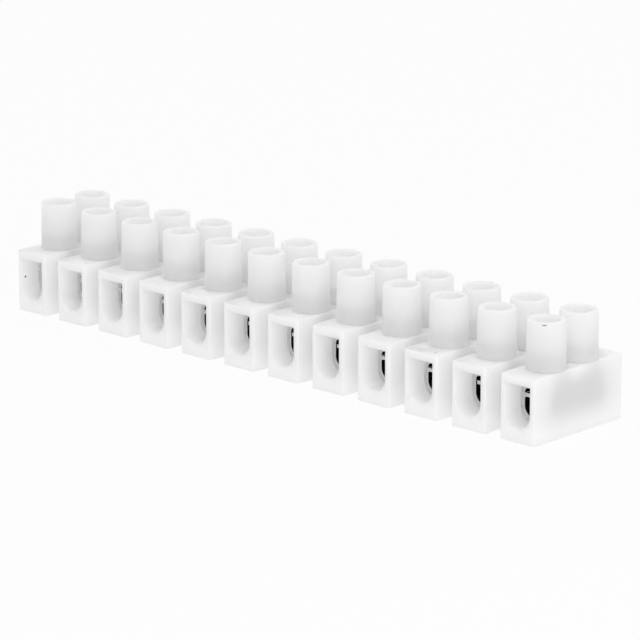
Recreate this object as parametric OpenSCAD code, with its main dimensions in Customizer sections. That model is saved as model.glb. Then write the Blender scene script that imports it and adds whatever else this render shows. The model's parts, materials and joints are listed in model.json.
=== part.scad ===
// Screw connector strip: one moulded housing with a row of poles. Each pole holds a
// folded metal terminal with a clamping screw at each end, under its own round tower.
// Frame: X along the row, the two wire-entry sides face -Y and +Y, Z up the towers,
// origin in the middle of the underside.

/* [Strip] */
// Number of poles along the strip
poles = 12; // [2:1:16]
// Distance from one pole to the next
pitch = 10; // [9.6:0.1:12]

/* [Wire entries] */
// Clear width of a wire entry
entry_w = 5.1; // [4.8:0.05:5.4]
// Clear height of a wire entry, from its round floor to its flat roof
entry_h = 7.15; // [6.9:0.05:7.8]
// Depth of a wire entry, from the outside to the terminal's end
entry_depth = 3.9; // [2:0.1:6]
// Wall at each side of a wire entry
side_wall = 0.9; // [0.6:0.05:1]
// Floor under a wire entry
floor_t = 2.15; // [1:0.05:3]
// Roof over a wire entry
roof_t = 1.3; // [0.8:0.05:2.5]
// Rounding of the block's upright corners
corner_r = 0.35; // [0.1:0.05:0.8]

/* [Screw towers] */
// Distance between a pole's two screws
screw_spacing = 7.8; // [7:0.1:8.6]
// Height of a tower above its block
tower_h = 8; // [6:0.1:11]
// Bore of a tower, which guides the screw's head
tower_bore_d = 4.3; // [4:0.05:4.6]
// Wall of a tower at its rim
tower_wall = 0.9; // [0.6:0.05:1]
// Growth of a tower's radius from the rim to the foot
tower_draft = 0.16; // [0.05:0.01:0.25]
// Rounding at a tower's outer rim
rim_r = 0.3; // [0.1:0.05:0.5]
// Lead-in at the mouth of a tower's bore
lead_in = 0.25; // [0.1:0.05:0.4]

/* [Webs and fixing holes] */
// Diameter of the fixing hole between two poles
fixing_hole_d = 3.4; // [3.2:0.1:3.8]
// Wall of a web in front of and behind its fixing hole
web_wall = 1.4; // [0.8:0.1:3]
// Step from the block's top down to a web
web_drop = 3; // [1:0.1:6]

/* [Terminals] */
// Length of a terminal
terminal_l = 13.5; // [12.8:0.1:16]
// Thickness of the folded metal strip
strip_t = 0.6; // [0.5:0.05:0.7]
// Clear height inside a terminal
clamp_h = 3.1; // [2.8:0.05:3.4]
// Space between the two layers of a terminal's roof
layer_gap = 0.8; // [0.6:0.05:0.9]
// Clear gap at the inner layer's free edge
flap_gap = 0.25; // [0.1:0.05:0.5]
// Inside radius of the inner layer's bend
inner_bend_r = 0.3; // [0.2:0.05:0.4]
// Inside radius of the outer layer's bends
outer_bend_r = 0.6; // [0.4:0.05:0.7]
// Ledge between a wire entry and the terminal's cavity
ledge = 0.15; // [0.05:0.05:0.3]
// Step up from the wire entry's floor to the cavity's floor
floor_step = 0.4; // [0.1:0.05:0.5]
// Clearance around a terminal in its cavity
terminal_gap = 0.05; // [0.02:0.01:0.08]

/* [Screws] */
// Diameter over the thread, a little under its nominal 3.5
thread_d = 3.4; // [3.2:0.05:3.45]
// Radial clearance of the thread in the terminal
thread_gap = 0.03; // [0.02:0.01:0.04]
// Radial clearance of the head in its tower
head_gap = 0.1; // [0.05:0.01:0.1]
// Height of the head
head_h = 2; // [1.4:0.1:2.6]
// Width of the head's slot
slot_w = 0.8; // [0.5:0.05:1.2]
// Depth of the head's slot
slot_depth = 0.9; // [0.5:0.05:1.2]
// Bevel at the head's rim
head_bevel = 0.3; // [0.1:0.05:0.5]
// Bevel at the screw's tip
tip_bevel = 0.6; // [0.3:0.05:0.8]
// Height of an open screw's tip above the clear space inside the terminal
tip_lift = 0.1; // [0:0.05:0.4]
// Space left under the tip when the screw is fully down
tip_space = 0.9; // [0.8:0.05:1.5]
// Space left under the head when the screw is fully down
under_head = 1.1; // [0.3:0.1:1.5]
// Turn of the slot from one screw to the next
slot_turn = 67; // [0:1:179]

/* [Hidden] */
$fn = 48;
// How far a cut runs past the face that it opens
over = 1;
// Poles whose terminal has the side that folds over the top at the left, seen from -Y
FOLDS_FROM_LEFT = [6, 7, 8, 11];

block_w = entry_w + 2 * side_wall;
block_d = terminal_l + 2 * entry_depth;
block_h = floor_t + entry_h + roof_t;

cavity_w = entry_w - 2 * ledge;
cavity_z = floor_t + floor_step;
terminal_w = cavity_w - 2 * terminal_gap;
terminal_z = cavity_z + terminal_gap;
terminal_h = 3 * strip_t + clamp_h + layer_gap;
cavity_h = terminal_h + 2 * terminal_gap;
inner_z = terminal_z + strip_t;
inner_top_z = inner_z + clamp_h;

web_h = block_h - web_drop;
web_l = fixing_hole_d + 2 * web_wall;

tower_rim_r = tower_bore_d / 2 + tower_wall;
tower_foot_r = tower_rim_r + tower_draft;

head_r = tower_bore_d / 2 - head_gap;
tip_z = inner_top_z + tip_lift;
thread_l = clamp_h - tip_space + 2 * strip_t + layer_gap + under_head;
tapped_r = thread_d / 2 + thread_gap;

function pole_x(n) = (n - (poles + 1) / 2) * pitch;
function folds_from_left(n) = len(search(n, FOLDS_FROM_LEFT)) > 0;

// A rectangle with round corners
module rounded(w, d, r) {
    square([w - 2 * r, d], center = true);
    square([w, d - 2 * r], center = true);
    for (x = [-1, 1], y = [-1, 1])
        translate([x * (w / 2 - r), y * (d / 2 - r)]) circle(r);
}

// A channel's section: flat roof, straight sides and a full round floor at height zero
module channel(w, h) {
    translate([0, w / 2]) circle(w / 2);
    translate([-w / 2, w / 2]) square([w, h - w / 2]);
}

// Runs a section drawn in X and Z along Y, centred on the row
module along_y(length) {
    rotate([90, 0, 0]) linear_extrude(length, center = true) children();
}

// A tower with draft on its side and a rounded outer rim
module tower() {
    straight_h = tower_h - rim_r;
    rotate_extrude() {
        polygon([[0, 0], [tower_foot_r, 0], [tower_rim_r, straight_h], [0, straight_h]]);
        square([tower_rim_r - rim_r, tower_h]);
        translate([tower_rim_r - rim_r, straight_h]) circle(rim_r);
    }
}

// The bore that runs from a tower's mouth down into the terminal's cavity
module tower_bore() {
    top_z = block_h + tower_h;
    translate([0, 0, inner_top_z])
        cylinder(h = top_z - inner_top_z + over, d = tower_bore_d);
    translate([0, 0, top_z - lead_in])
        cylinder(h = lead_in, d1 = tower_bore_d, d2 = tower_bore_d + 2 * lead_in);
}

module pole_body() {
    linear_extrude(block_h) rounded(block_w, block_d, corner_r);
    for (y = [-1, 1]) translate([0, y * screw_spacing / 2, block_h]) tower();
}

module pole_hollow() {
    for (y = [-1, 1]) {
        translate([0, y * (terminal_l + entry_depth + over) / 2, floor_t])
            along_y(entry_depth + over) channel(entry_w, entry_h);
        translate([0, y * screw_spacing / 2, 0]) tower_bore();
    }
    translate([0, 0, cavity_z]) along_y(terminal_l + over) channel(cavity_w, cavity_h);
}

module housing() {
    color("#eef1ef") difference() {
        union() {
            for (n = [1:poles]) translate([pole_x(n), 0, 0]) pole_body();
            for (n = [1:poles - 1])
                translate([pole_x(n), -web_l / 2, 0]) cube([pitch, web_l, web_h]);
        }
        for (n = [1:poles]) translate([pole_x(n), 0, 0]) pole_hollow();
        for (n = [1:poles - 1])
            translate([pole_x(n + 0.5), 0, -over])
                cylinder(h = block_h + 2 * over, d = fixing_hole_d);
    }
}

// A quarter turn to the right of a metal strip that arrives along +X at the origin
module quarter_bend(inside_r) {
    outside_r = inside_r + strip_t;
    centre_y = -(inside_r + strip_t / 2);
    translate([0, centre_y]) intersection() {
        difference() {
            circle(outside_r);
            circle(inside_r);
        }
        square(outside_r);
    }
}

// A strip seen edge on, as a list of [straight run, inside radius of the bend after it]
module folded(runs, i = 0) {
    if (i < len(runs)) {
        run = runs[i][0];
        inside_r = runs[i][1];
        if (run > 0) translate([0, -strip_t / 2]) square([run, strip_t]);
        if (inside_r > 0) {
            mid_r = inside_r + strip_t / 2;
            translate([run, 0]) {
                quarter_bend(inside_r);
                translate([mid_r, -mid_r]) rotate(-90) folded(runs, i + 1);
            }
        }
    }
}

// The terminal's section: the strip starts as the roof's inner layer, goes down one side,
// round the floor, up the other side and over the top, and ends on its own first bend
module terminal_section() {
    half_w = terminal_w / 2;
    round_r = half_w - strip_t;
    inner_mid_r = inner_bend_r + strip_t / 2;
    outer_mid_r = outer_bend_r + strip_t / 2;
    side_x = half_w - strip_t / 2;
    inner_y = strip_t + clamp_h + strip_t / 2;
    outer_y = terminal_h - strip_t / 2;
    start_x = -half_w + strip_t + flap_gap;
    translate([start_x, inner_y]) folded([
        [side_x - inner_mid_r - start_x, inner_bend_r],
        [inner_y - inner_mid_r - half_w, round_r],
        [0, round_r],
        [outer_y - outer_mid_r - half_w, outer_bend_r],
        [2 * (side_x - outer_mid_r), outer_bend_r],
        [outer_y - outer_mid_r - inner_y - strip_t / 2, 0],
    ]);
}

module terminal(n) {
    turn = folds_from_left(n) ? 0 : 180;
    color("#c9ccd1") translate([pole_x(n), 0, 0]) rotate(turn) difference() {
        translate([0, 0, terminal_z]) along_y(terminal_l) terminal_section();
        for (y = [-1, 1])
            translate([0, y * screw_spacing / 2, inner_top_z - strip_t / 2])
                cylinder(h = terminal_h, r = tapped_r);
    }
}

module screw(angle) {
    thread_r = thread_d / 2;
    color("#d6d8dc") difference() {
        rotate_extrude() polygon([
            [0, 0],
            [thread_r - tip_bevel, 0],
            [thread_r, tip_bevel],
            [thread_r, thread_l],
            [head_r, thread_l],
            [head_r, thread_l + head_h - head_bevel],
            [head_r - head_bevel, thread_l + head_h],
            [0, thread_l + head_h],
        ]);
        translate([0, 0, thread_l + head_h - slot_depth]) rotate(angle)
            translate([-2 * head_r, -slot_w / 2, 0]) cube([4 * head_r, slot_w, head_h]);
    }
}

// A screw in the fully open position; side is -1 at the front and 1 at the rear
module placed_screw(n, side) {
    translate([pole_x(n), side * screw_spacing / 2, tip_z])
        screw(slot_turn * (2 * n + (side + 1) / 2));
}

housing();
for (n = [1:poles]) {
    terminal(n);
    placed_screw(n, -1);
    placed_screw(n, 1);
}
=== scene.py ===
# %% [markdown]
# # A twelve-way screw connector strip
# A connector strip joins wires in pairs. One moulding of soft, milky plastic holds
# twelve folded metal terminals, and each terminal is clamped on its wires by two
# screws that stand in round towers. This lesson dresses an exact model of the strip:
# the housing keeps its shape and gets soft edges, the screws get real threads, and
# each piece gets a finish that lets light behave as it does on the real thing.

# %% Load the frame
import math

import bpy
from mathutils import Matrix, Vector
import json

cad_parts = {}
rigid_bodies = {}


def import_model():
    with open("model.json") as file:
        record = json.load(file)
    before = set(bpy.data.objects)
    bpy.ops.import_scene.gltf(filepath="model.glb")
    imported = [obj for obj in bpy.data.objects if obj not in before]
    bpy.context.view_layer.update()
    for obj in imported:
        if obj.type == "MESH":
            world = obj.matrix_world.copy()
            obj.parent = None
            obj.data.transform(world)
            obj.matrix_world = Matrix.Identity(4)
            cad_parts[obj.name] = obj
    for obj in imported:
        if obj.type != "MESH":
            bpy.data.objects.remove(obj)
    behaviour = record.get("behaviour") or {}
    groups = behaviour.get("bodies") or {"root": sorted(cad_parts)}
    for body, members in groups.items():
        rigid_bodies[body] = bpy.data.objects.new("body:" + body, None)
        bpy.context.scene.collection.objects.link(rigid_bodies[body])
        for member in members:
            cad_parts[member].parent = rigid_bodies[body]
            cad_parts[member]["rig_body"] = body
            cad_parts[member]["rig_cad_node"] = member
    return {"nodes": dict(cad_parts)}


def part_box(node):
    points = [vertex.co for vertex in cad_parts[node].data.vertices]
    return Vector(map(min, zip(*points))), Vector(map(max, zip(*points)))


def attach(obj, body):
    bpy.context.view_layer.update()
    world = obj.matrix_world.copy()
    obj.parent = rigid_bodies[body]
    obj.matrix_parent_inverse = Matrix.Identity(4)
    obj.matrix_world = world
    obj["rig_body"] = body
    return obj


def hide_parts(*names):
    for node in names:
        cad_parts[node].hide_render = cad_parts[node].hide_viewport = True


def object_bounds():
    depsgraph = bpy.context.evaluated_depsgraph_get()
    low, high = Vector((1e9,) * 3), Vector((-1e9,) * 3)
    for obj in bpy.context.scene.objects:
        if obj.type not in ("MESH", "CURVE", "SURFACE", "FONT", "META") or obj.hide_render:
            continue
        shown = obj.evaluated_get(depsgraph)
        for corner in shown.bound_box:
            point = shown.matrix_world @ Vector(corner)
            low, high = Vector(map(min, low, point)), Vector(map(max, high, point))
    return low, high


MM = 0.001
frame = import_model()
nodes = frame["nodes"]
box_low, box_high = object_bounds()
centre = (box_low + box_high) / 2
poles = sum(name.startswith("terminal_") for name in nodes)
print("poles:", poles, "box in mm:", [round(v / MM, 2) for v in box_high - box_low])

# %% [markdown]
# ## The camera
# A long lens far away keeps the towers nearly parallel, as in a catalogue picture. A
# camera without any perspective would make both ends of the strip the same size, which
# looks flat. The camera's place is worked out from the middle of the strip: an angle
# round the strip, an angle above the table, and a distance. It then slides a little
# sideways and down. The lamp stands the same way later, so one helper serves both.

# %% Camera
VIEW_ROUND_DEG = 43.304
VIEW_ABOVE_DEG = 15.536
VIEW_SIDEWAYS = 2.45 * MM
VIEW_UP = -2.21 * MM
VIEW_DISTANCE = 626.82 * MM
LENS_MM = 213.9
SENSOR_MM = 36
NEAREST_SEEN = 10 * MM
scene = bpy.context.scene


def stand_facing_strip(thing, round_deg, above_deg, offset):
    around = Matrix.Rotation(math.radians(round_deg), 3, "Z")
    turn = around @ Matrix.Rotation(math.radians(90 - above_deg), 3, "X")
    thing.location = centre + turn @ Vector(offset)
    thing.rotation_euler = turn.to_euler()
    scene.collection.objects.link(thing)


camera = bpy.data.objects.new("camera", bpy.data.cameras.new("camera"))
view_offset = (VIEW_SIDEWAYS, VIEW_UP, VIEW_DISTANCE)
stand_facing_strip(camera, VIEW_ROUND_DEG, VIEW_ABOVE_DEG, view_offset)
camera.data.sensor_width = SENSOR_MM
camera.data.lens = LENS_MM
camera.data.clip_start = NEAREST_SEEN
scene.camera = camera
print("camera at, in mm:", [round(v / MM, 1) for v in camera.location])

# %% [markdown]
# ## Helpers for node trees
# Every finish below is a small node tree, and so is the recipe of each metal piece.
# These helpers keep the trees short: they add a node and set its sockets, do sums, and
# make a smooth step. The last one starts a material with one shader and the object's own
# coordinates, so a pattern stays on the piece when the piece moves.


# %% Nodes and sums
def add_node(tree, kind, links=None, settings=None, **sockets):
    """A new node with its settings, the values of its sockets, and links into it."""
    node = tree.nodes.new(kind)
    for name, value in (settings or {}).items():
        setattr(node, name, value)
    for name, value in sockets.items():
        node.inputs[name.replace("_", " ")].default_value = value
    for name, source in (links or {}).items():
        tree.links.new(source, node.inputs[name])
    return node


def plug(tree, value, socket):
    """A number is set on the socket, and another node's output is linked to it."""
    if isinstance(value, bpy.types.NodeSocket):
        tree.links.new(value, socket)
    else:
        socket.default_value = value


def calc(tree, operation, *values):
    node = tree.nodes.new("ShaderNodeMath")
    node.operation = operation
    for value, socket in zip(values, node.inputs):
        plug(tree, value, socket)
    return node.outputs[0]


def sums_for(tree):
    """Three short sums for one tree: add up, subtract and multiply."""

    def sum_of(*values):
        total = values[0]
        for value in values[1:]:
            total = calc(tree, "ADD", total, value)
        return total

    def less(a, b):
        return calc(tree, "SUBTRACT", a, b)

    def times(a, b):
        return calc(tree, "MULTIPLY", a, b)

    return sum_of, less, times


def ramp(tree, value, start, end, low=0, high=1):
    """Low at start, high at end, and a smooth step between them."""
    if start > end:
        start, end, low, high = end, start, high, low
    step = tree.nodes.new("ShaderNodeMapRange")
    step.interpolation_type = "SMOOTHSTEP"
    limits = {"From Min": start, "From Max": end, "To Min": low, "To Max": high}
    for socket, number in limits.items():
        step.inputs[socket].default_value = number
    plug(tree, value, step.inputs["Value"])
    return step.outputs["Result"]


# %% Start of a material
def start_material(name, **shader_sockets):
    material = bpy.data.materials.new(name)
    material.use_nodes = True
    tree = material.node_tree
    shader = tree.nodes["Principled BSDF"]
    for socket, value in shader_sockets.items():
        shader.inputs[socket.replace("_", " ")].default_value = value
    place = tree.nodes.new("ShaderNodeTexCoord").outputs["Object"]
    return material, tree, shader, place


# %% [markdown]
# ## The plastic
# Natural polyethylene is milky: light goes in, scatters a few millimetres and comes out
# again, so thin walls glow and the metal behind them shows as soft grey shapes. Plain
# white would hide the metal, and a see-through mix would show it sharply. Subsurface
# scattering does neither: a random walk follows the light through the real walls, which
# is why their true thickness matters. The colour is nearly white, because such plastic
# hardly absorbs. A large, faint noise clouds it a little, and a very fine noise gives the
# satin skin of a moulding.

# %% Plastic
SCATTER_MM = (3.9, 3.9, 3.82)
CLEAR_PLASTIC = 0.99
CLOUDY_PLASTIC = 0.975
CLOUD_SCALE = 260
CLOUD_FROM = 0.35
CLOUD_TO = 0.65
SKIN_SCALE = 1800
SKIN_STRENGTH = 0.06
SKIN_DEPTH = 0.02 * MM
plastic, tree, shader, place = start_material(
    "natural_polyethylene",
    Roughness=0.34,
    IOR=1.5,
    Subsurface_Weight=1.0,
    Subsurface_Scale=1 * MM,
)
shader.inputs["Subsurface Radius"].default_value = SCATTER_MM

clouds = add_node(tree, "ShaderNodeTexNoise", {"Vector": place}, Scale=CLOUD_SCALE, Detail=3)
cloud = clouds.outputs["Fac"]
white = ramp(tree, cloud, CLOUD_FROM, CLOUD_TO, CLOUDY_PLASTIC, CLEAR_PLASTIC)

skin = add_node(tree, "ShaderNodeTexNoise", {"Vector": place}, Scale=SKIN_SCALE, Detail=3)
skin_bump = add_node(
    tree,
    "ShaderNodeBump",
    {"Height": skin.outputs["Fac"]},
    Strength=SKIN_STRENGTH,
    Distance=SKIN_DEPTH,
)
tree.links.new(skin_bump.outputs["Normal"], shader.inputs["Normal"])
print("plastic:", plastic.name)

# %% [markdown]
# ## Specks of dirt
# Real mouldings have a few dark grains in their skin. A painted image could hold them,
# but a grain is only a small ellipsoid in space, so a centre and three half lengths are
# enough. A Mapping node measures each point's place from the centre in these half
# lengths, and a smooth step darkens the white where the distance is less than one. Blue
# is held a hair lower than red and green, which keeps the plastic's faint warmth.

# %% Specks of dirt and the plastic's colour
# Each speck: its centre and its half lengths in mm, and its shade
DIRT_SPECKS = (
    ((56.68, -6.42, 18.24), (0.5, 0.4, 0.14), 0.3),
    ((-57.55, -9.77, 5.83), (0.22, 0.22, 0.22), 0.1),
    ((36.85, -9.15, 10.6), (0.18, 0.18, 0.18), 0.4),
)
SPECK_FADES_FROM = 0.7
SPECK_FADES_TO = 1.1
BLUE_SHARE = 0.999


def clean_share(tree, place, speck_mm, half_lengths_mm, shade):
    """The speck's shade inside it, and one outside it."""
    near = add_node(tree, "ShaderNodeMapping", {"Vector": place}, {"vector_type": "TEXTURE"})
    near.inputs["Location"].default_value = [v * MM for v in speck_mm]
    near.inputs["Scale"].default_value = [v * MM for v in half_lengths_mm]
    reach = add_node(
        tree, "ShaderNodeVectorMath", {0: near.outputs[0]}, {"operation": "LENGTH"}
    )
    return ramp(tree, reach.outputs["Value"], SPECK_FADES_FROM, SPECK_FADES_TO, shade, 1)


for speck_mm, half_lengths_mm, shade in DIRT_SPECKS:
    clean = clean_share(tree, place, speck_mm, half_lengths_mm, shade)
    white = calc(tree, "MULTIPLY", white, clean)
blue = calc(tree, "MULTIPLY", white, BLUE_SHARE)
tint = add_node(
    tree, "ShaderNodeCombineColor", {"Red": white, "Green": white, "Blue": blue}
)
tree.links.new(tint.outputs["Color"], shader.inputs["Base Color"])
print("specks of dirt:", len(DIRT_SPECKS))

# %% [markdown]
# ## The metals
# The screws are turned from steel and plated, and fine turned lines run round them. The
# terminals are folded from plated strip, and rolled lines run along them. One roughness
# for all would look like plastic foil, so a stretched noise varies it along the lines.

# %% Screw metal
SCREW_PLATING = (0.74, 0.75, 0.77, 1)
SCREW_ROUGHNESS = 0.26
TURNED_LINES = (300, 300, 24000)
SMOOTHEST_LINE = 0.7
ROUGHEST_LINE = 1.4


def vary_roughness(tree, shader, place, roughness, line_scale):
    """Roughness from a noise that the scale of each axis stretches into lines."""
    stretch = add_node(tree, "ShaderNodeMapping", {"Vector": place}, Scale=line_scale)
    lines = add_node(
        tree, "ShaderNodeTexNoise", {"Vector": stretch.outputs["Vector"]}, Scale=1, Detail=4
    )
    spread = add_node(
        tree,
        "ShaderNodeMapRange",
        {"Value": lines.outputs["Fac"]},
        To_Min=roughness * SMOOTHEST_LINE,
        To_Max=roughness * ROUGHEST_LINE,
    )
    tree.links.new(spread.outputs["Result"], shader.inputs["Roughness"])


screw_metal, tree, shader, place = start_material("plated_screw", Metallic=1.0)
shader.inputs["Base Color"].default_value = SCREW_PLATING
vary_roughness(tree, shader, place, SCREW_ROUGHNESS, TURNED_LINES)
print("screw metal:", screw_metal.name)

# %% [markdown]
# ## The strip metal
# A terminal is bright outside and near its ends. A little way into the narrow sleeve
# its colour turns dark, which is painted shade for the inside of the sleeve. The end
# faces are sheared, which leaves them a shade darker than the plating. Two materials
# would need the sleeve cut in two, so one material works out where it is: how deep
# from the nearest end, how far from the sleeve's axis, and how high.

# %% Strip metal
BRIGHT_PLATING = (0.9, 0.905, 0.91, 1)
# Painted shade: this dark colour stands for the shade deep inside the sleeve
PAINTED_SLEEVE_SHADE = (0.16, 0.16, 0.165, 1)
STRIP_ROUGHNESS = 0.2
ROLLED_LINES = (9000, 300, 9000)
STRIP_THICKNESS = 0.6 * MM
PAINTED_SHADE_FROM = 0.12 * MM
PAINTED_SHADE_TO = 0.4 * MM
SHEARED_SHADE = 0.7
SHEARED_FROM = 0.01 * MM
SHEARED_TO = 0.03 * MM
WALL_BLEND = 0.1 * MM
ROOF_FROM = 0.2 * MM
ROOF_TO = 0.1 * MM


def share_outside_painted_shade(tree, place):
    """One where the plating is bright, nothing deep in the sleeve, where shade is painted, and
    less at the cut.
    """
    sum_of, less, times = sums_for(tree)
    low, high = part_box("terminal_1")
    pitch = (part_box("terminal_2")[0] - low).x
    half_width = (high.x - low.x) / 2
    wall_middle = half_width - STRIP_THICKNESS / 2
    x, y, z = add_node(tree, "ShaderNodeSeparateXYZ", {"Vector": place}).outputs
    depth = less(high.y, calc(tree, "ABSOLUTE", y))
    # Painted shade starts this far in from the nearest end of the sleeve
    near_end = ramp(tree, depth, PAINTED_SHADE_TO, PAINTED_SHADE_FROM)
    across = calc(tree, "WRAP", less(x, low.x + half_width), pitch / 2, -pitch / 2)
    under = calc(tree, "MINIMUM", less(z, low.z + half_width), 0)
    reach = calc(tree, "SQRT", sum_of(times(across, across), times(under, under)))
    outside = ramp(tree, reach, wall_middle - WALL_BLEND, wall_middle + WALL_BLEND)
    on_roof = ramp(tree, z, high.z - ROOF_FROM, high.z - ROOF_TO)
    bright = calc(tree, "MAXIMUM", near_end, calc(tree, "MAXIMUM", outside, on_roof))
    return times(bright, ramp(tree, depth, SHEARED_FROM, SHEARED_TO, SHEARED_SHADE, 1))


strip_metal, tree, shader, place = start_material("plated_strip", Metallic=1.0)
vary_roughness(tree, shader, place, STRIP_ROUGHNESS, ROLLED_LINES)
# The mix paints shade into the sleeve: the dark colour where the share is nothing
plating = add_node(
    tree, "ShaderNodeMix", {"Factor": share_outside_painted_shade(tree, place)}, {"data_type": "RGBA"}
)
plating.inputs["A"].default_value = PAINTED_SLEEVE_SHADE
plating.inputs["B"].default_value = BRIGHT_PLATING
tree.links.new(plating.outputs["Result"], shader.inputs["Base Color"])
print("strip metal:", strip_metal.name)

# %% [markdown]
# ## Helpers for geometry nodes
# The small metal pieces follow rules, so geometry nodes build them. These helpers start
# a tree with named inputs and end it with real geometry and a material, and they cut one
# mesh away from another.


# %% Start and end of a tree
def make_tree(name, lengths):
    """A tree with an input for each length, and for a turn, a place and a material."""
    tree = bpy.data.node_groups.new(name, "GeometryNodeTree")
    tree.is_modifier = True
    kinds = dict.fromkeys([*lengths, "Turn"], "NodeSocketFloat")
    kinds.update(Place="NodeSocketVector", Material="NodeSocketMaterial")
    for title, kind in kinds.items():
        tree.interface.new_socket(title, in_out="INPUT", socket_type=kind)
    tree.interface.new_socket("Mesh", in_out="OUTPUT", socket_type="NodeSocketGeometry")
    return tree, tree.nodes.new("NodeGroupInput").outputs


def cut_away(tree, mesh, cutter):
    cut = add_node(
        tree,
        "GeometryNodeMeshBoolean",
        {"Mesh 1": mesh},
        {"operation": "DIFFERENCE", "solver": "EXACT"},
    )
    tree.links.new(cutter, cut.inputs["Mesh 2"])
    return cut.outputs["Mesh"]


def end_tree(tree, mesh, sizes):
    """Turns and places the mesh, makes its copies real and gives it its material."""
    turned = add_node(tree, "GeometryNodeTransform", {"Geometry": mesh})
    spin = add_node(tree, "ShaderNodeCombineXYZ", {"Z": sizes["Turn"]})
    tree.links.new(spin.outputs[0], turned.inputs["Rotation"])
    tree.links.new(sizes["Place"], turned.inputs["Translation"])
    real = add_node(
        tree, "GeometryNodeRealizeInstances", {"Geometry": turned.outputs["Geometry"]}
    )
    dressed = add_node(
        tree,
        "GeometryNodeSetMaterial",
        {"Geometry": real.outputs["Geometry"], "Material": sizes["Material"]},
    )
    last = tree.nodes.new("NodeGroupOutput")
    tree.links.new(dressed.outputs["Geometry"], last.inputs["Mesh"])


# %% [markdown]
# ## Helpers for points and sheets
# A round piece can be turned from a profile, but a thread rises as it turns. A flat
# sheet can do both: each column is a step round the axis, each row is a point of the
# profile, and every point gets its own radius and height when the sheet is rolled up.


# %% Points and sheets
def choose(tree, index, values):
    """The value that the index picks, out of numbers and other nodes' outputs."""
    node = tree.nodes.new("GeometryNodeIndexSwitch")
    node.data_type = "FLOAT"
    while len(node.index_switch_items) < len(values):
        node.index_switch_items.new()
    plug(tree, index, node.inputs[0])
    for value, socket in zip(values, list(node.inputs)[1:]):
        plug(tree, value, socket)
    return node.outputs[0]


def place_points(tree, mesh, x, y, z):
    place = tree.nodes.new("ShaderNodeCombineXYZ")
    for value, socket in zip((x, y, z), place.inputs):
        plug(tree, value, socket)
    moved = add_node(
        tree, "GeometryNodeSetPosition", {"Geometry": mesh, "Position": place.outputs[0]}
    )
    return moved.outputs["Geometry"]


def point_place(tree):
    place = tree.nodes.new("GeometryNodeInputPosition").outputs[0]
    return add_node(tree, "ShaderNodeSeparateXYZ", {0: place}).outputs


def flat_sheet(tree, columns, rows):
    """A grid of points one unit apart, with each point's column and row."""
    sum_of, less, times = sums_for(tree)
    grid = tree.nodes.new("GeometryNodeMeshGrid")
    plug(tree, columns, grid.inputs["Vertices X"])
    plug(tree, less(columns, 1), grid.inputs["Size X"])
    grid.inputs["Vertices Y"].default_value = rows
    grid.inputs["Size Y"].default_value = rows - 1
    x, y, _ = point_place(tree)
    column = calc(tree, "ROUND", sum_of(x, times(less(columns, 1), 0.5)))
    row = calc(tree, "ROUND", sum_of(y, (rows - 1) / 2))
    return grid.outputs["Mesh"], column, row


def rolled(tree, sheet, turns, radius, height):
    """The sheet round the Z axis, with each point at its own turn, radius and height."""
    angle = calc(tree, "MULTIPLY", turns, math.tau)
    x = calc(tree, "MULTIPLY", radius, calc(tree, "COSINE", angle))
    y = calc(tree, "MULTIPLY", radius, calc(tree, "SINE", angle))
    return place_points(tree, sheet, x, y, height)


# %% [markdown]
# ## Helpers for finished pieces
# A piece is finished when it is a plain mesh with one material. A bevel can round its
# edges first, but only where two faces meet at a clear angle, so that the facets of a
# round face stay as they are. Each finished piece rides on a body of the exact model
# and takes the place of one of its nodes.

# %% Piece helpers
BEVEL_FROM = math.radians(35)
BEVEL_SEGMENTS = 2


def soften(piece, width):
    bevel = piece.modifiers.new("bevel", "BEVEL")
    bevel.width = width
    bevel.segments = BEVEL_SEGMENTS
    bevel.limit_method = "ANGLE"
    bevel.angle_limit = BEVEL_FROM
    bevel.harden_normals = True


def make_plain(piece):
    """The result of the piece's modifiers becomes its mesh."""
    evaluated = piece.evaluated_get(bpy.context.evaluated_depsgraph_get())
    mesh = bpy.data.meshes.new_from_object(evaluated)
    piece.modifiers.clear()
    piece.data = mesh
    mesh.name = piece.name


def give_material(piece, material):
    """One material for all faces, so a face's own choice of material is removed."""
    mesh = piece.data
    if "material_index" in mesh.attributes:
        mesh.attributes.remove(mesh.attributes["material_index"])
    mesh.materials.clear()
    mesh.materials.append(material)


def grown(name, tree, values, edge_rounding=0):
    """A piece that the tree builds from these values, as a plain mesh."""
    piece = bpy.data.objects.new(name, bpy.data.meshes.new(name))
    scene.collection.objects.link(piece)
    recipe = piece.modifiers.new("recipe", "NODES")
    recipe.node_group = tree
    for item in tree.interface.items_tree:
        if item.name in values:
            recipe[item.identifier] = values[item.name]
    if edge_rounding:
        soften(piece, edge_rounding)
    make_plain(piece)
    give_material(piece, values["Material"])
    return piece


def finish_piece(piece, body, node):
    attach(piece, body)
    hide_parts(node)


# %% [markdown]
# ## The housing
# A mould leaves no sharp edge. Modelling the housing again would only add errors, so the
# exact mesh is used. It arrives as loose triangles, so a copy is joined up first, its
# flat faces are made whole, and a bevel then rounds every edge where two faces meet at
# an angle. The exact mesh stays in the file for its place in the machine, and the
# rounded copy stands for it in the picture.

# %% Housing
EDGE_ROUNDING = 0.12 * MM
SAME_PLACE = 0.001 * MM
FLAT_WITHIN = math.radians(0.5)


def joined_copy(node, name):
    """A copy without the exact piece's marks and parent, and with its corners joined."""
    copy = nodes[node].copy()
    copy.data = nodes[node].data.copy()
    copy.name = name
    copy.data.name = name
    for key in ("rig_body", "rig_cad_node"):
        if key in copy:
            del copy[key]
    copy.parent = None
    copy.matrix_world = Matrix.Identity(4)
    scene.collection.objects.link(copy)
    weld = copy.modifiers.new("weld", "WELD")
    weld.merge_threshold = SAME_PLACE
    return copy


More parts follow.
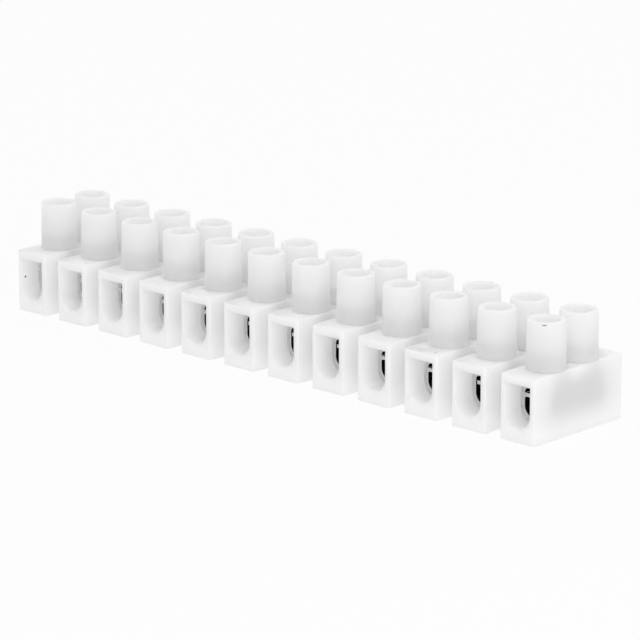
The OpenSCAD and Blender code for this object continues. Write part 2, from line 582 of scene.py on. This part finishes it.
moulding = joined_copy("housing", "housing_moulding")
flat = moulding.modifiers.new("flat", "DECIMATE")
flat.decimate_type = "DISSOLVE"
flat.angle_limit = FLAT_WITHIN
soften(moulding, EDGE_ROUNDING)
make_plain(moulding)
moulding.data.shade_smooth()
give_material(moulding, plastic)
finish_piece(moulding, "housing", "housing")
print("housing faces:", len(moulding.data.polygons))

# %% [markdown]
# ## The terminals
# A terminal is one strip of plated steel, folded into a sleeve: it starts as the inner
# layer of the roof, goes down one side, round the floor, up the other side and over the
# top as a second layer, where the screw finds its thread. A box with a hole would lose
# the fold that shows at the ends. So its rule is a path: seven corner points with the
# right bend at each, swept with the strip's section, and drilled twice. The sheared
# edges get a fine rounding, which is what glints in a wire entry.

# %% Terminal path
BEND_STEPS = 6
TERMINAL_SIZES = {
    "Strip Thickness": STRIP_THICKNESS,
    "Width": 4.7 * MM,
    "Clear Height": 3.1 * MM,
    "Layer Gap": 0.8 * MM,
    "Length": 13.5 * MM,
    "Inner Bend": 0.3 * MM,
    "Outer Bend": 0.6 * MM,
    "Edge Gap": 0.25 * MM,
    "Hole Radius": 1.73 * MM,
    "Hole Spacing": 7.8 * MM,
}


def roof_layers(tree, sizes):
    """The heights of the middles of the roof's inner and outer layers."""
    sum_of, _, times = sums_for(tree)
    half_thick = times(sizes["Strip Thickness"], 0.5)
    inner = sum_of(sizes["Strip Thickness"], sizes["Clear Height"], half_thick)
    outer = sum_of(inner, half_thick, sizes["Layer Gap"], half_thick)
    return inner, outer


def bent_path(tree, corners):
    """A curve through corners of x, z, radius of the bend, and steps in the bend."""
    xs, zs, bends, steps = zip(*corners)
    line = add_node(tree, "GeometryNodeMeshLine", Count=len(corners))
    index = tree.nodes.new("GeometryNodeInputIndex").outputs[0]
    along_x = choose(tree, index, xs)
    along_z = choose(tree, index, zs)
    placed = place_points(tree, line.outputs["Mesh"], along_x, 0, along_z)
    path = add_node(tree, "GeometryNodeMeshToCurve", {"Mesh": placed})
    fillet = add_node(
        tree,
        "GeometryNodeFilletCurve",
        {
            "Curve": path.outputs["Curve"],
            "Radius": choose(tree, index, bends),
            "Count": choose(tree, index, steps),
        },
        {"mode": "POLY"},
    )
    return fillet.outputs["Curve"]


def folded_strip(tree, sizes, inner, outer):
    """The strip's section, swept along its fold."""
    sum_of, less, times = sums_for(tree)
    half_thick = times(sizes["Strip Thickness"], 0.5)
    side = less(times(sizes["Width"], 0.5), half_thick)
    left = times(side, -1)
    inner_bend = sum_of(sizes["Inner Bend"], half_thick)
    outer_bend = sum_of(sizes["Outer Bend"], half_thick)
    corners = (
        (sum_of(left, half_thick, sizes["Edge Gap"]), inner, 0, 1),
        (side, inner, inner_bend, BEND_STEPS),
        (side, half_thick, side, 2 * BEND_STEPS),
        (left, half_thick, side, 2 * BEND_STEPS),
        (left, outer, outer_bend, BEND_STEPS),
        (side, outer, outer_bend, BEND_STEPS),
        (side, sum_of(inner, half_thick), 0, 1),
    )
    section = add_node(
        tree,
        "GeometryNodeCurvePrimitiveQuadrilateral",
        {"Width": sizes["Length"], "Height": sizes["Strip Thickness"]},
    )
    strip = add_node(
        tree,
        "GeometryNodeCurveToMesh",
        {"Curve": bent_path(tree, corners), "Profile Curve": section.outputs["Curve"]},
        Fill_Caps=True,
    )
    return strip.outputs["Mesh"]


# %% Terminal tree
DRILL_SIDES = 48


def screw_hole_drills(tree, sizes, inner, outer):
    """Two drills from inside the clear space to well above the roof."""
    sum_of, less, times = sums_for(tree)
    spacing = sizes["Hole Spacing"]
    drill = add_node(
        tree,
        "GeometryNodeMeshCylinder",
        {"Radius": sizes["Hole Radius"], "Depth": outer},
        Vertices=DRILL_SIDES,
    )
    middle = sum_of(less(inner, sizes["Strip Thickness"]), times(outer, 0.5))
    first = add_node(tree, "ShaderNodeCombineXYZ", {"Y": times(spacing, -0.5), "Z": middle})
    apart = add_node(tree, "ShaderNodeCombineXYZ", {"Y": spacing})
    places = add_node(
        tree,
        "GeometryNodeMeshLine",
        {"Start Location": first.outputs[0], "Offset": apart.outputs[0]},
        Count=2,
    )
    drills = add_node(
        tree,
        "GeometryNodeInstanceOnPoints",
        {"Points": places.outputs["Mesh"], "Instance": drill.outputs["Mesh"]},
    )
    return drills.outputs["Instances"]


def make_terminal_tree():
    tree, sizes = make_tree("folded_terminal", TERMINAL_SIZES)
    inner, outer = roof_layers(tree, sizes)
    strip = folded_strip(tree, sizes, inner, outer)
    drills = screw_hole_drills(tree, sizes, inner, outer)
    end_tree(tree, cut_away(tree, strip, drills), sizes)
    return tree


terminal_tree = make_terminal_tree()
print("terminal tree nodes:", len(terminal_tree.nodes))

# %% Terminals
FOLDS_FROM_LEFT = (6, 7, 8, 11)
SHEARED_EDGE = 0.05 * MM
# The floor and both layers of the roof, with the two spaces between them
terminal_height = 3 * TERMINAL_SIZES["Strip Thickness"]
terminal_height += TERMINAL_SIZES["Clear Height"] + TERMINAL_SIZES["Layer Gap"]
for pole in range(1, poles + 1):
    node = f"terminal_{pole}"
    low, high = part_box(node)
    turn = 0 if pole in FOLDS_FROM_LEFT else math.pi
    values = dict(TERMINAL_SIZES, Turn=turn, Material=strip_metal)
    values["Place"] = ((low.x + high.x) / 2, 0, high.z - terminal_height)
    terminal = grown(f"folded_{node}", terminal_tree, values, SHEARED_EDGE)
    terminal.data.shade_smooth()
    finish_piece(terminal, "housing", node)
print("terminals:", poles, "faces in one:", len(terminal.data.polygons))

# %% [markdown]
# ## The screws
# Each screw has a metric thread and a slotted cheese head. A thread is often made by
# sweeping a section along a helix, but such a sweep has to be joined to the core. Here
# the thread is one sheet with five rows, which trace one ridge and one groove, rolled
# round the axis while it rises by one pitch a turn, so each turn's last row meets the
# next turn's first. Points that would pass the tip or the head are held at that height,
# which closes the tip and ends the thread cleanly. The head is a second rolled sheet,
# and a box with a flared top cuts the slot.

# %% Thread
SCREW_SIZES = {
    "Thread Radius": 1.7 * MM,
    "Core Radius": 1.33 * MM,
    "Thread Pitch": 0.6 * MM,
    "Thread Length": 5.3 * MM,
    "Tip Bevel": 0.6 * MM,
    "Head Radius": 2.05 * MM,
    "Head Height": 2 * MM,
    "Head Bevel": 0.3 * MM,
    "Slot Width": 0.8 * MM,
    "Slot Depth": 0.9 * MM,
}
STEPS_A_TURN = 32
TURNS_BELOW_TIP = 2
# Each row of the sheet: how far up in the pitch, and how far out from core to crest
THREAD_FORM = ((0, 0), (0.25, 0), (0.5625, 1), (0.6875, 1), (1, 0))


def thread_sheet(tree, sizes):
    """The core and its thread, held between tip and head, and closed at the tip."""
    sum_of, less, times = sums_for(tree)
    crest, core = sizes["Thread Radius"], sizes["Core Radius"]
    length, pitch = sizes["Thread Length"], sizes["Thread Pitch"]
    turns = calc(tree, "CEIL", sum_of(calc(tree, "DIVIDE", length, pitch), TURNS_BELOW_TIP + 1))
    sheet, column, row = flat_sheet(tree, sum_of(times(turns, STEPS_A_TURN), 1), len(THREAD_FORM))
    turn = calc(tree, "DIVIDE", column, STEPS_A_TURN)
    rises, ridges = zip(*THREAD_FORM)
    free_height = times(less(sum_of(turn, choose(tree, row, rises)), TURNS_BELOW_TIP), pitch)
    height = calc(tree, "MINIMUM", calc(tree, "MAXIMUM", free_height, 0), length)
    thread = sum_of(core, times(choose(tree, row, ridges), less(crest, core)))
    cone = sum_of(less(crest, sizes["Tip Bevel"]), height)
    radius = calc(tree, "MINIMUM", thread, cone)
    past_head = calc(tree, "GREATER_THAN", free_height, length)
    radius = sum_of(times(radius, less(1, past_head)), times(core, past_head))
    in_tip = calc(tree, "LESS_THAN", free_height, less(-SAME_PLACE, pitch))
    radius = times(radius, less(1, in_tip))
    return rolled(tree, sheet, turn, radius, height)


# %% Head and slot
UNDER_HEAD_ROUNDING = 0.08 * MM
SLOT_CHAMFER = 0.07 * MM
BEVEL_DEGREES = (0, 30, 60, 90)


def head_sheet(tree, sizes, top):
    """Rows from the thread out to the rim, up its side and bevel, and to the middle."""
    sum_of, less, times = sums_for(tree)
    core, length = sizes["Core Radius"], sizes["Thread Length"]
    head_radius, bevel = sizes["Head Radius"], sizes["Head Bevel"]
    outline = [(core, length), (less(head_radius, UNDER_HEAD_ROUNDING), length)]
    outline.append((head_radius, sum_of(length, UNDER_HEAD_ROUNDING)))
    for degrees in BEVEL_DEGREES:
        inward = times(bevel, 1 - math.cos(math.radians(degrees)))
        down = times(bevel, 1 - math.sin(math.radians(degrees)))
        outline.append((less(head_radius, inward), less(top, down)))
    outline.append((0, top))
    radii, heights = zip(*outline)
    sheet, column, row = flat_sheet(tree, STEPS_A_TURN + 1, len(outline))
    turn = calc(tree, "DIVIDE", column, STEPS_A_TURN)
    return rolled(tree, sheet, turn, choose(tree, row, radii), choose(tree, row, heights))


def slot_cutter(tree, sizes, top):
    """A box twice as long as the head is wide, with its highest level spread."""
    sum_of, less, times = sums_for(tree)
    width, depth = sizes["Slot Width"], sizes["Slot Depth"]
    cutter = add_node(tree, "GeometryNodeMeshCube", Size=(1, 1, 2), Vertices_Z=3)
    x, y, z = point_place(tree)
    level = calc(tree, "ROUND", sum_of(z, 1))
    flare = calc(tree, "DIVIDE", sum_of(depth, SLOT_CHAMFER), width)
    spread = choose(tree, level, [1, 1, sum_of(times(flare, 2), 1)])
    lift = choose(tree, level, [less(0, depth), -SLOT_CHAMFER, depth])
    return place_points(
        tree,
        cutter.outputs["Mesh"],
        times(x, times(sizes["Head Radius"], 4)),
        times(y, times(width, spread)),
        sum_of(top, lift),
    )


# %% Screw tree
def make_screw_tree():
    tree, sizes = make_tree("slotted_screw", SCREW_SIZES)
    top = calc(tree, "ADD", sizes["Thread Length"], sizes["Head Height"])
    both = add_node(tree, "GeometryNodeJoinGeometry", {0: head_sheet(tree, sizes, top)})
    tree.links.new(thread_sheet(tree, sizes), both.inputs[0])
    solid = add_node(
        tree, "GeometryNodeMergeByDistance", {"Geometry": both.outputs[0]}, Distance=SAME_PLACE
    )
    cutter = slot_cutter(tree, sizes, top)
    end_tree(tree, cut_away(tree, solid.outputs["Geometry"], cutter), sizes)
    return tree


screw_tree = make_screw_tree()
print("screw tree nodes:", len(screw_tree.nodes))

# %% Screws
SLOT_TURN = math.radians(67)
SHARP_FROM = math.radians(40)
for pole in range(1, poles + 1):
    for side, extra in (("front", 0), ("rear", 1)):
        node = f"screw_{side}_{pole}"
        low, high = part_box(node)
        axis = (low + high) / 2
        values = dict(SCREW_SIZES, Turn=SLOT_TURN * (2 * pole + extra), Material=screw_metal)
        values["Place"] = (axis.x, axis.y, low.z)
        screw = grown(f"slotted_{node}", screw_tree, values)
        screw.data.set_sharp_from_angle(angle=SHARP_FROM)
        finish_piece(screw, node, node)
print("screws:", 2 * poles, "faces in one:", len(screw.data.polygons))

# %% [markdown]
# ## Floor and light
# The strip lies on a white table in a white room, which lights it evenly from all round.
# Lamps alone would leave hard shadows in the gaps. One soft lamp in front on the right
# gives the near end a little more. What the camera or a reflection sees of the room is
# pure white, while the light that the room gives stays moderate, so the plastic keeps
# its tones. Light that enters the narrow gaps of a white piece bounces many times before
# it is lost, so more bounces than usual are allowed.

# %% Floor
FLOOR_SIZE = 3000 * MM
FLOOR_GAP = 0.02 * MM
half = FLOOR_SIZE / 2
floor_corners = [(-half, -half, 0), (half, -half, 0), (half, half, 0), (-half, half, 0)]
floor_mesh = bpy.data.meshes.new("floor")
floor_mesh.from_pydata(floor_corners, [], [(0, 1, 2, 3)])
floor = bpy.data.objects.new("floor", floor_mesh)
floor.location.z = box_low.z - FLOOR_GAP
scene.collection.objects.link(floor)
print("floor, in mm:", round(FLOOR_SIZE / MM))

# %% Table finish
PURE_WHITE = (1, 1, 1, 1)
CARD_WHITE = (0.9, 0.9, 0.9, 1)
GLOW_THAT_LIGHTS = 0.5
GLOW_THAT_SHOWS = 0.9


def white_to_the_eye(tree):
    """One for rays that show the room to the camera, nothing for rays that light."""
    rays = tree.nodes.new("ShaderNodeLightPath").outputs
    seen = calc(tree, "MAXIMUM", rays["Is Camera Ray"], rays["Is Glossy Ray"])
    return calc(tree, "MAXIMUM", seen, rays["Is Transmission Ray"])


table = bpy.data.materials.new("white_table")
table.use_nodes = True
tree = table.node_tree
tree.nodes.clear()
output = tree.nodes.new("ShaderNodeOutputMaterial")
card = add_node(tree, "ShaderNodeBsdfDiffuse", Color=CARD_WHITE)
glow = add_node(tree, "ShaderNodeEmission", Color=PURE_WHITE, Strength=1)
share = add_node(
    tree,
    "ShaderNodeMapRange",
    {"Value": white_to_the_eye(tree)},
    To_Min=GLOW_THAT_LIGHTS,
    To_Max=GLOW_THAT_SHOWS,
)
mix = add_node(
    tree,
    "ShaderNodeMixShader",
    {0: share.outputs[0], 1: card.outputs["BSDF"], 2: glow.outputs["Emission"]},
)
tree.links.new(mix.outputs["Shader"], output.inputs["Surface"])
floor.data.materials.append(table)
print("table:", table.name)

# %% Room
ROOM_LIGHT = 0.81
world = bpy.data.worlds.new("white_room")
scene.world = world
world.use_nodes = True
tree = world.node_tree
tree.nodes.clear()
output = tree.nodes.new("ShaderNodeOutputWorld")
lighting = add_node(tree, "ShaderNodeBackground", Color=PURE_WHITE, Strength=ROOM_LIGHT)
backdrop = add_node(tree, "ShaderNodeBackground", Color=PURE_WHITE, Strength=1)
mix = add_node(
    tree,
    "ShaderNodeMixShader",
    {
        0: white_to_the_eye(tree),
        1: lighting.outputs["Background"],
        2: backdrop.outputs["Background"],
    },
)
tree.links.new(mix.outputs["Shader"], output.inputs["Surface"])
scene.cycles.diffuse_bounces = 12
scene.cycles.glossy_bounces = 8
scene.cycles.max_bounces = 20
scene.view_settings.view_transform = "Standard"
print("room:", world.name)

# %% Lamp
LAMP_ROUND_DEG = 60
LAMP_ABOVE_DEG = 30
LAMP_DISTANCE = 400 * MM
LAMP_SIZE = 400 * MM
LAMP_WATTS = 0.33
lamp = bpy.data.objects.new("front_right", bpy.data.lights.new("front_right", "AREA"))
lamp.data.shape = "SQUARE"
lamp.data.size = LAMP_SIZE
lamp.data.energy = LAMP_WATTS
stand_facing_strip(lamp, LAMP_ROUND_DEG, LAMP_ABOVE_DEG, (0, 0, LAMP_DISTANCE))
print("lamp at, in mm:", [round(v / MM, 1) for v in lamp.location])

# %% [markdown]
# ## The end
# Dressing must not change the strip's size.

# %% End
import json
